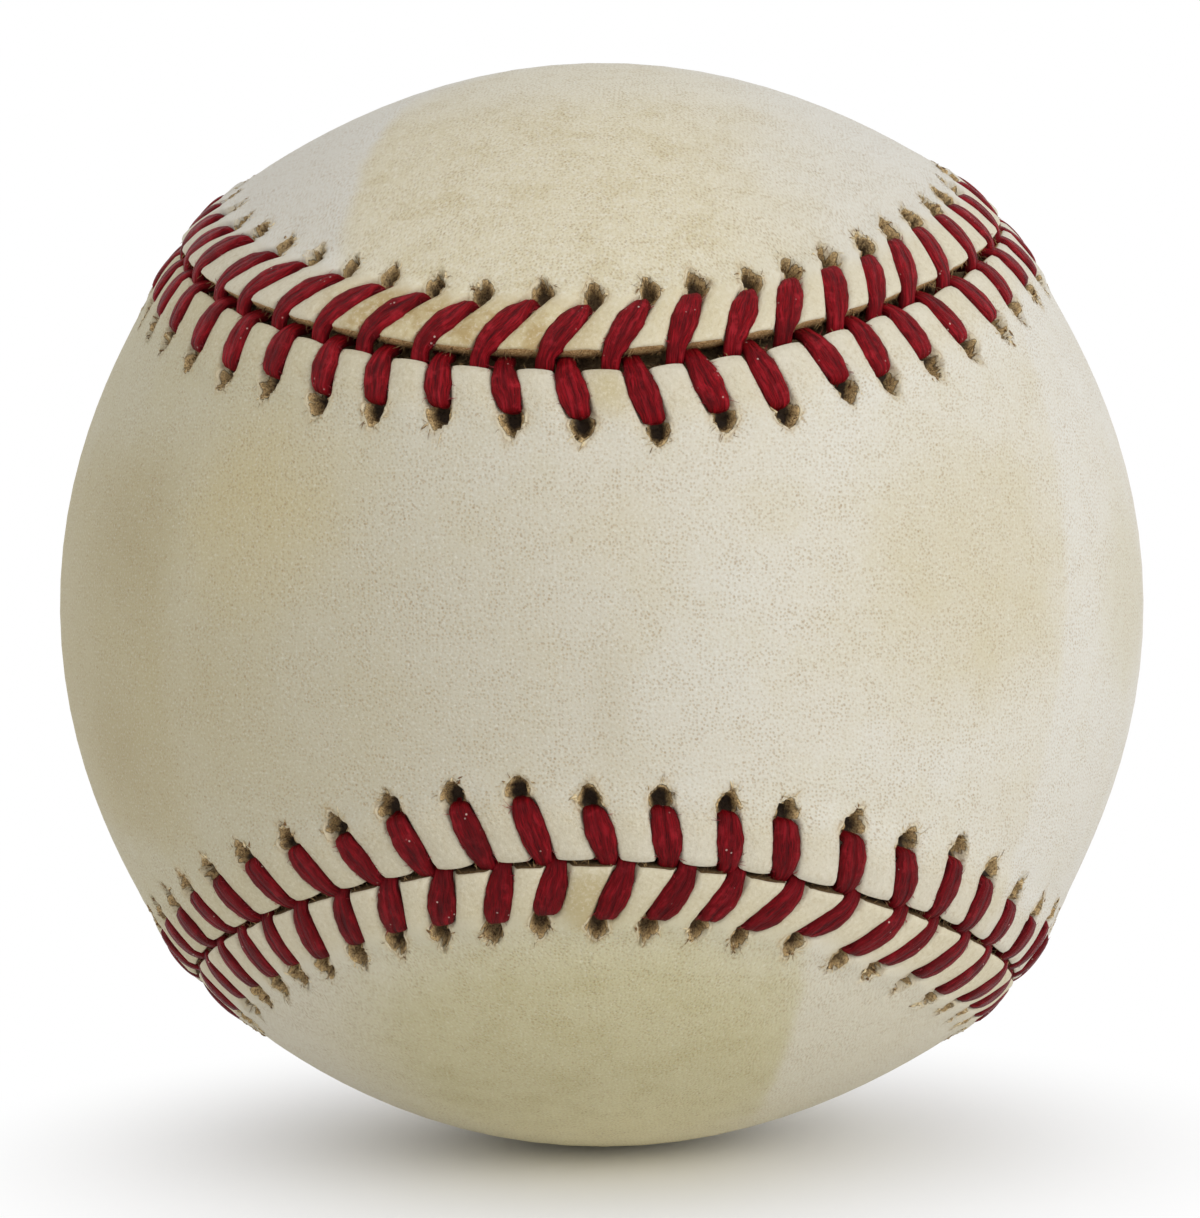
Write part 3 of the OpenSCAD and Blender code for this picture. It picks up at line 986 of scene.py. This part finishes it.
MIDDLE_BAND_EDGES = (((590, 760), (588, 640)), ((626, 640), (628, 760)))
UPPER_TONGUES = (452, 318)
UPPER_MIDDLE_TONGUE = (606, 392)
LOWER_TONGUE = (591, 895)
RED_SPECKS = ((511, 232, 0.16), (518, 234, 0.1), (374, 240, 0.09), (563, 268, 0.08))


def stains_and_shade_front(finish, wide, fine):
    """Stains of the front panel: the dark left third, partly painted shade, a tan patch at the
    right and faint tints.
    """
    ragged = (wide - 0.5) * 6 * MM + (fine - 0.5) * 2 * MM
    fade = finish.beyond(LEFT_FADE_EDGE, 13, ragged)
    mottle = finish.noise(5 * MM, 4.0, 0.6)
    finish.tint(mottle.step(0.42, 0.68) * 0.24, 208, 197, 162)
    darker_part = finish.beyond(RIGHT_STAIN_EDGE, 0.7, ragged * 0.35)
    finish.tint((1.0 - darker_part) * 0.45, 225, 223, 217)
    # Broad darkening over the left part: partly stain, partly painted shade of the side away from
    # the key light
    finish.tint(fade * 0.62, 194, 184, 143)
    finish.tint(finish.spot(MIDDLE_GRIME, 13, 11, ragged) * 0.55, 192, 184, 160)
    left = finish.beyond(LEFT_STAIN_EDGE, 2.2, ragged * 0.8)
    left = left * finish.beyond(LEFT_TOP_EDGE, 3, ragged)
    left = left * finish.beyond(LEFT_FOOT_EDGE, 2, ragged)
    finish.tint(left * 0.45, 189, 175, 132)
    finish.tint(finish.spot(LEFT_DARK, 3, 6, ragged) * left * 0.5, 177, 162, 122)
    finish.tint(finish.spot(LEFT_LOW_DARK, 3, 5, ragged) * left * 0.5, 177, 162, 122)
    finish.tint(finish.spot(LEFT_FOOT_TINT, 4, 5, ragged) * 0.3, 188, 172, 124)
    patch = finish.spot(LEFT_YELLOW, 5.5, 4, ragged)
    finish.tint(patch * (1.0 - left) * (0.35 + mottle * 0.5), 203, 188, 142)
    patch = finish.spot(RIGHT_STAIN, 7.5, 4.5, ragged)
    finish.tint(patch * darker_part * (0.3 + mottle * 0.42), 203, 191, 154)
    finish.tint(finish.spot(RIGHT_RIM_STAIN, 6, 3, ragged) * 0.45, 204, 196, 166)
    finish.tint(finish.spot(MIDDLE_TINT, 2, 3, ragged) * 0.3, 203, 188, 142)
    band = finish.spot(MIDDLE_BAND, 3.5, 3, ragged * 0.5)
    for edge in MIDDLE_BAND_EDGES:
        band = band * finish.beyond(edge, 1.4, ragged * 0.3)
    finish.tint(band * 0.3, 184, 172, 140)


def stains_and_light_back(finish, wide, fine):
    """Stains of the back panel: a mottled tan one above the front, an olive one below, tints by
    height and painted light on the bottom rim.
    """
    ragged = (wide - 0.5) * 5 * MM + (fine - 0.5) * 1.8 * MM
    fluff = finish.noise(0.34 * MM, 3.0, 0.7)
    mottle = finish.noise(3.2 * MM, 4.0, 0.6)
    height = finish.parts(finish.place)[2]
    # Whiter towards the top and yellower towards the bottom
    finish.tint(height.step(12 * MM, 32 * MM) * 0.5, 230, 228, 222)
    finish.tint(height.step(-8 * MM, -30 * MM) * 0.5, 220, 212, 184)
    top = finish.spot(TOP_STAIN, 18, 4, ragged)
    edge = finish.beyond(TOP_STAIN_EDGE, 0.7, ragged * 0.5)
    fade = finish.beyond(TOP_FADE_EDGE, 7, ragged)
    top = top * edge * (0.1 + fade * 0.9)
    finish.tint(top * 0.92, 223, 213, 183)
    finish.tint(top * mottle.step(0.42, 0.68) * 0.45, 204, 189, 146)
    finish.tint(top * fluff.step(0.44, 0.66) * 0.5, 236, 230, 212)
    bottom = finish.spot(BOTTOM_STAIN, 15, 6, ragged)
    bottom = bottom * finish.beyond(BOTTOM_STAIN_EDGE, 0.6, ragged * 0.4)
    finish.tint(bottom * 0.85, 205, 197, 155)
    finish.tint(bottom * mottle.step(0.4, 0.75) * 0.45, 190, 180, 134)
    # Painted light: a lighter bottom rim that offsets the floor's shadow
    finish.tint(finish.spot(BOTTOM_RIM_PAINTED_LIGHT, 9, 9, ragged), 252, 242, 202)
    # Whiter still at the very top
    finish.tint(height.step(30 * MM, 34 * MM) * 0.4, 230, 227, 216)
    for x, y, radius in RED_SPECKS:
        speck = finish.spot((x, y), radius, 0.04, (fluff - 0.5) * 0.2 * MM)
        finish.tint(speck, 126, 30, 26)


def stain_tongues(finish, side, handled):
    """Stains of the leather between the legs."""
    blotch = finish.noise(1.8 * MM, 3.0, 0.6)
    ragged = (blotch - 0.5) * 2 * MM
    if side < 0:
        tongue = finish.spot(UPPER_MIDDLE_TONGUE, 1.5, 1, ragged * 0.4)
        finish.tint(tongue * 0.7, 196, 180, 134)
    else:
        upper = finish.spot(UPPER_TONGUES, 8, 3, ragged) * handled
        finish.tint(upper * 0.6, 206, 188, 140)
        finish.tint(upper * blotch.step(0.36, 0.62) * 0.8, 176, 148, 94)
        finish.tint(finish.spot(LOWER_TONGUE, 2.1, 0.8, ragged * 0.3) * 0.65, 184, 166, 118)


PORE_PITCH = 0.25 * MM
LARGE_PORE_PITCH = 0.8 * MM


def skin_map(finish, side):
    """A flat map of a panel, in metres: along its middle line and away from that line."""
    x, y, z = finish.parts(finish.place)
    ahead, up, away = (-1.0 * y, x, z) if side < 0 else (y, z, x)
    away = (away / COVER_R).math("ARCSINE")
    along = up.math("ARCTAN2", ahead) * away.math("COSINE")
    return finish.vector(along * COVER_R, away * COVER_R)


def cover_leather(side):
    """Worn cream leather: pores, stains, ragged holes with woolly fibres and a fuzzy cut edge."""
    finish = Finish("cover_leather_" + ("front" if side < 0 else "back"))
    along, across = finish.pattern()
    wide = finish.noise(12 * MM, 3.0, 0.6)
    fine = finish.noise(1.3 * MM, 4.0, 0.6)
    finish.tones(wide.step(0.3, 0.7), (223, 219, 207), (219, 213, 197))
    stains_and_light = stains_and_shade_front if side < 0 else stains_and_light_back
    stains_and_light(finish, wide, fine)
    # Hair pores
    skin = skin_map(finish, side)
    pores = finish.cells(PORE_PITCH, 0.8, skin, "2D").step(0.42, 0.08)
    density = finish.noise(1.6 * MM, 5.0, 0.8).step(0.36, 0.64)
    grain = finish.noise(0.2 * MM, 2.0, 0.6, skin)
    worked = across.step(0.0, 0.02)
    smooth = across.step(3.2, 5.0) if side > 0 else across.step(1.2, 3.4)
    pores = pores * (0.3 + density * 0.7) * smooth
    finish.tint(pores * 0.46, 186, 157, 112)
    finish.tint(grain.step(0.45, 0.75) * smooth * 0.2, 190, 179, 146)
    finish.tint(grain.step(0.48, 0.28) * smooth * 0.3, 236, 236, 226)
    large = finish.cells(LARGE_PORE_PITCH, 1.0, skin, "2D").step(0.14, 0.05) * smooth
    finish.tint(large * density * 0.4, 158, 124, 84)
    # Handled leather between the legs
    handled = worked * across.step(4.4, 2.6)
    creases = finish.noise(1.0, 3.0, 0.6, finish.vector(along * 11.0, across * 1.6))
    finish.tint(handled * (0.3 if side < 0 else 0.5), 212, 198, 160)
    finish.tint(handled * creases.step(0.5, 0.75) * 0.3, 186, 166, 124)
    stain_tongues(finish, side, handled)
    fluff = finish.noise(0.24 * MM, 3.0, 0.7)
    finish.tint(handled * fluff.step(0.5, 0.66) * 0.3, 238, 231, 212)
    finish.tint(handled * fluff.step(0.46, 0.3) * 0.25, 172, 150, 104)
    # Holes: halo, torn pale rim, woolly inside and painted shade deep in the hole at the thread
    tear = finish.noise(0.34 * MM, 4.0, 0.7) - 0.5
    rip = finish.noise(0.9 * MM, 1.0) - 0.5
    wool = finish.noise(0.13 * MM, 3.0, 0.7)
    stitch = (along + 0.5).math("FLOOR")
    chance = finish.node("ShaderNodeTexWhiteNoise", {"noise_dimensions": "1D"}, W=stitch)
    x = ((along + 0.5).math("FRACT") - 0.5 - HOLE_AHEAD[side] / PITCH) * (PITCH / HOLE_WIDTH[side])
    y = (across - (HOLE_ACROSS[side] + HOLE_PAST_LEG) / MM) * (MM / HOLE_LENGTH)
    x = x * (1.0 + y.step(0.0, HOLE_POINT_AT) * HOLE_POINT)
    reach = (x * x + y * y).math("SQRT") + tear * 0.3 + rip * 0.6
    halo = reach.step(2.1, 1.2) * worked
    finish.tint(halo * (0.08 + chance * 0.22), 200, 174, 124)
    torn = reach.step(1.5, 1.44) * worked * reach.step(1.28, 1.34) * fine.step(0.44, 0.56)
    finish.tint(torn * (0.06 + chance * 0.3), 164, 126, 80)
    finish.tint(reach.step(1.34, 1.28) * worked * (0.35 + chance * 0.4), 226, 212, 180)
    lining = finish.mix(wool.step(0.32, 0.64), srgb(84, 56, 30), srgb(224, 192, 138))
    lining = finish.mix(rip.step(-0.1, 0.2) * 0.3, lining, srgb(96, 70, 40))
    lining = finish.mix(reach.step(0.6, 1.1) * 0.35, lining, srgb(216, 186, 134))
    opening = reach.step(1.14, 1.04) * worked
    finish.colour = finish.mix(opening, finish.colour, lining)
    # Painted shade deep in each hole, beside the thread
    y = y + (0.42 if side < 0 else -0.05)
    deep = ((x * x + y * y).math("SQRT") + tear * 0.6).step(1.04, 0.5) * worked
    if side < 0:
        finish.tint(deep * (0.7 + wool * 0.5), 32, 19, 11)
    else:
        finish.tint(deep * (0.55 + chance * 0.45) * (0.7 + wool * 0.5), 42, 27, 16)
    # Cut edge, darker towards the foot of its wall as painted shade in the seam's gap
    wall = across.step(0.02, -0.02)
    cut = finish.mix(wool.step(0.3, 0.7), srgb(164, 120, 70), srgb(236, 202, 146))
    cut = finish.mix(across.step(-0.25, -1.0) * 0.8, cut, srgb(84, 54, 28))
    finish.colour = finish.mix(wall, finish.colour, cut)
    # Painted shadow: the cut wall along the lower seam is darkened where the other panel's edge
    # shades the gap
    darker_part = (along - STITCHES / 2).math("ABSOLUTE").step(22.0, 12.0)
    finish.tint(wall * darker_part * 0.75, 44, 30, 18)
    height = fine * 0.6 - pores * 0.5 + grain * 0.6 * smooth + handled * creases * 0.8
    height = height + (halo * tear + wall * wool) * 2.0 + handled * fluff * 0.8
    bump = finish.bump(height - opening * 2.0, 0.06 * MM)
    return finish.done(Roughness=0.56 + fine * 0.12, Normal=bump, Specular_IOR_Level=0.25)


def red_thread():
    """Waxed crimson thread: two flat plies of lengthwise fibres with specks of wax, painted
    highlights, and painted shade in its groove and at its sides.
    """
    finish = Finish("red_thread")
    around, length = finish.pattern()
    wander = finish.noise(1.0, at=finish.vector(0.0, length * 0.5)) - 0.5
    fibres = finish.vector(around * 80.0 + wander * 4.0, length * 1.1)
    fibre = finish.noise(1.0, 4.0, 0.7, fibres)
    strand = finish.noise(1.0, 3.0, at=finish.vector(around * 18.0 + wander * 2.5, length * 0.6))
    finish.tones(fibre.step(0.34, 0.66), (72, 3, 8), (158, 13, 26))
    # The bright streaks of the strands are painted highlights
    finish.tint(strand.step(0.48, 0.7) * 0.4, 200, 42, 56)
    finish.tint(strand.step(0.48, 0.3) * 0.4, 64, 2, 7)
    # Painted sheen: lighter red patches stand in for the thread's satin highlights
    painted_sheen = finish.noise(0.8 * MM, 4.0, 0.65)
    finish.tint(painted_sheen.step(0.52, 0.7) * 0.45, 192, 44, 56)
    # Darker towards the bottom of the ball
    finish.tint(finish.parts(finish.place)[2].step(0.0, -20 * MM) * 0.36, 70, 4, 9)
    # Painted shade in the groove between the two plies; the darker sides are partly painted shade
    # where the thread sinks into the leather and partly grime
    middle = (((around * 2.0 + wander * 0.12).math("FRACT") - 0.5) * 0.5).math("ABSOLUTE")
    groove = middle.step(0.035, 0.006)
    finish.tint(groove * (wander + 0.34), 46, 2, 6)
    finish.tint(middle.step(0.16, 0.25) * 0.55, 66, 3, 9)
    finish.tint(finish.noise(2.4 * MM, 3.0).step(0.5, 0.7) * 0.45, 66, 10, 12)
    wax = finish.cells(0.4 * MM).step(0.2, 0.1) * finish.noise(1.4 * MM).step(0.6, 0.66)
    finish.tint(wax * 0.8, 226, 200, 188)
    bump = finish.bump(fibre + strand * 0.8 - groove * 0.8, 0.1 * MM)
    return finish.done(Roughness=0.36 + fibre * 0.2, Normal=bump, Specular_IOR_Level=0.09)


def fibre_finish(name, dark, light):
    """Loose fibres, each in its own tone."""
    finish = Finish(name)
    tone = finish.noise(0.5 * MM, 2.0, 0.6)
    finish.tones(tone.step(0.36, 0.64), dark, light)
    return finish.done(Roughness=0.8)


def yarn(name, dark, light, size):
    """Wound yarn in crossing layers."""
    finish = Finish(name)
    bend = finish.noise(9 * size)
    x, y, z = finish.parts(finish.place)
    one = ((x + y * 0.6 + bend * size * 3.0) * (2 * math.pi / size)).math("SINE")
    other = ((z - y * 0.7 + bend * size * 3.0) * (2 * math.pi / size)).math("SINE")
    layer = finish.noise(14 * size, 1.0).step(0.45, 0.55)
    strands = one * layer + other * (1.0 - layer)
    hair = finish.noise(size * 0.4, 4.0, 0.7)
    finish.tones(strands.step(-0.9, 0.6) * (0.6 + hair * 0.4), dark, light)
    return finish.done(Roughness=0.9, Normal=finish.bump(strands + hair, size * 0.3))


def cement():
    """Dried rubber cement over the finishing yarn, dark with grime where the seam shows it."""
    finish = Finish("rubber_cement")
    lumps = finish.noise(1.2 * MM, 4.0, 0.6)
    hair = finish.noise(0.3 * MM, 4.0, 0.7)
    finish.tones(lumps.step(0.35, 0.7), (104, 80, 54), (160, 132, 92))
    finish.tint(hair.step(0.5, 0.75) * 0.6, 200, 174, 128)
    return finish.done(Roughness=0.8, Normal=finish.bump(lumps + hair * 0.6, 0.2 * MM))


def rubber(name, dark, light):
    """Moulded rubber with a dull, slightly mottled skin."""
    finish = Finish(name)
    mottle = finish.noise(3 * MM, 4.0)
    grain = finish.noise(0.4 * MM, 3.0)
    finish.tones(mottle.step(0.3, 0.7), dark, light)
    return finish.done(Roughness=0.6 + grain * 0.2, Normal=finish.bump(grain + mottle, 0.05 * MM))


def cork():
    """Ground cork bound with rubber."""
    finish = Finish("cork")
    grains = finish.cells(1.4 * MM)
    tone = finish.noise(0.9 * MM, 3.0)
    finish.tones(tone.step(0.3, 0.7), (122, 84, 50), (186, 144, 96))
    finish.tint(grains.step(0.5, 0.8) * 0.8, 58, 38, 24)
    return finish.done(Roughness=0.85, Normal=finish.bump(grains, 0.2 * MM))


def paint(obj, material):
    obj.data.materials.clear()
    obj.data.materials.append(material)


def finish_inside():
    """Finishes of the layers that the cover hides."""
    grey_wool = yarn("grey_wool", (74, 73, 72), (150, 148, 144), 1.1 * MM)
    white_wool = yarn("white_wool", (150, 142, 124), (226, 219, 202), 1.0 * MM)
    cotton = yarn("cotton_yarn", (140, 126, 100), (222, 212, 188), 0.5 * MM)
    for material, *nodes in (
        (cork(), "cork_core"),
        (rubber("black_rubber", (18, 18, 18), (44, 43, 42)),
         "black_rubber_shell_upper", "black_rubber_shell_lower"),
        (rubber("red_rubber", (118, 32, 28), (168, 52, 44)), "rubber_gasket", "red_rubber_cover"),
        (grey_wool, "first_winding", "third_winding"),
        (white_wool, "second_winding"),
        (cotton, "finishing_winding"),
        (cement(), "cement_coat"),
    ):
        for node in nodes:
            paint(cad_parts[node], material)


# Stage: camera, floor and light

FLOOR_GAP = 0.1 * MM
FLOOR_SIZE = 3.0
FLOOR_COLOUR = (0.95, 0.95, 0.95, 1)
# Further than this from the middle the floor starts to turn white, and here it is all white
FLOOR_NEAR = 0.006
FLOOR_FAR = 0.05
WORLD_LIGHT = 0.61
CAMERA_CLIP = 0.01
SOFTBOX_SIZE = 0.8
# Each light's place and power
KEY_LIGHT = ((0.76, -0.68, 0.3), 4.7)
FILL_LIGHT = ((-0.8, -0.6, 0.1), 0.8)


def stand(name, data, eye, target, up):
    """Adds an object at the eye that points its -Z at the target."""
    back = (eye - target).normalized()
    right = up.cross(back).normalized()
    turn = Matrix((right, back.cross(right), back)).transposed().to_4x4()
    obj = bpy.data.objects.new(name, data)
    bpy.context.collection.objects.link(obj)
    obj.matrix_world = Matrix.Translation(eye) @ turn
    return obj


def place_camera():
    back = turned().transposed()
    data = bpy.data.cameras.new("photo_camera")
    data.lens = FOCAL_PX * SENSOR / max(PHOTO_W, PHOTO_H)
    data.sensor_width = SENSOR
    data.clip_start = CAMERA_CLIP
    distance = CAMERA_BALLS * COVER_R
    off_x = (PHOTO_W / 2 - BALL_X) / FOCAL_PX * distance
    off_z = (BALL_Y - PHOTO_H / 2) / FOCAL_PX * distance
    eye = back @ Vector((0, -distance, 0))
    target = back @ Vector((off_x, 0, off_z))
    bpy.context.scene.camera = stand("photo_camera", data, eye, target, back @ Vector((0, 0, 1)))


def softbox(name, place, power):
    data = bpy.data.lights.new(name, "AREA")
    data.shape = "DISK"
    data.size = SOFTBOX_SIZE
    data.energy = power
    stand(name, data, Vector(place), Vector((0, 0, 0)), Vector((0, 0, 1)))


def light_world():
    """White light from all round, and plain white wherever the camera sees the world."""
    world = bpy.data.worlds.new("studio")
    bpy.context.scene.world = world
    world.use_nodes = True
    nodes = Nodes(world.node_tree, "ShaderNodeOutputWorld")
    lit = nodes.node("ShaderNodeBackground", {}, Color=WHITE, Strength=WORLD_LIGHT)
    white = nodes.node("ShaderNodeBackground", {}, Color=WHITE, Strength=1.0)
    mix = nodes.node("ShaderNodeMixShader", {}, nodes.white_rays(), lit, white)
    nodes.feed(nodes.surface, mix)


def lay_floor():
    """A pale floor that keeps the ball's shadow and turns white further out."""
    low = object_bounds()[0][2]
    deselect()
    bpy.ops.mesh.primitive_plane_add(size=FLOOR_SIZE, location=(0, 0, low - FLOOR_GAP))
    floor = bpy.context.object
    floor.name = "floor"
    finish = Finish("floor_white")
    finish.colour = FLOOR_COLOUR
    paint(floor, finish.done(Roughness=0.9, Specular_IOR_Level=0.1))
    far = finish.from_place("DISTANCE", (0, 0, 0)).step(FLOOR_NEAR, FLOOR_FAR)
    lit = Value(finish, finish.shader.outputs[0])
    glow = finish.node("ShaderNodeEmission", {}, Color=WHITE, Strength=1.0)
    mix = finish.node("ShaderNodeMixShader", {}, far * finish.white_rays(), lit, glow)
    finish.feed(finish.surface, mix)


place_camera()
thread = red_thread()
finish_inside()

for side, node in ((-1, "cover_panel_front"), (1, "cover_panel_back")):
    panel = cover_panel(side, "leather_" + node.split("_")[-1])
    paint(panel, cover_leather(side))
    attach(panel, "root")
    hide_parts(node)

for side, node in ((1, "stitch_thread_first_needle"), (-1, "stitch_thread_second_needle")):
    run = thread_run(side, "red_" + node.split("_", 1)[1])
    paint(run, thread)
    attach(run, "root")
    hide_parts(node)

torn_leather = fibre_finish("torn_leather", (116, 82, 44), (236, 216, 172))
cut_leather = fibre_finish("cut_leather", (84, 58, 32), (194, 160, 108))
thread_hair = fibre_finish("thread_hair", (110, 10, 24), (168, 30, 46))
for side, panel in ((-1, "front"), (1, "back")):
    for name, make, material, slot in (
        ("hole_fibres_", hole_fibres, torn_leather, "cover_leather"),
        ("edge_fibres_", edge_fibres, cut_leather, "cover_leather"),
        ("thread_fibres_", thread_fibres, thread_hair, "red_thread"),
    ):
        fibres = strands(name + panel, *make(side))
        paint(fibres, material)
        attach(fibres, "root")

light_world()
softbox("key_light", *KEY_LIGHT)
softbox("fill_light", *FILL_LIGHT)
lay_floor()
bpy.context.scene.view_settings.view_transform = "Standard"
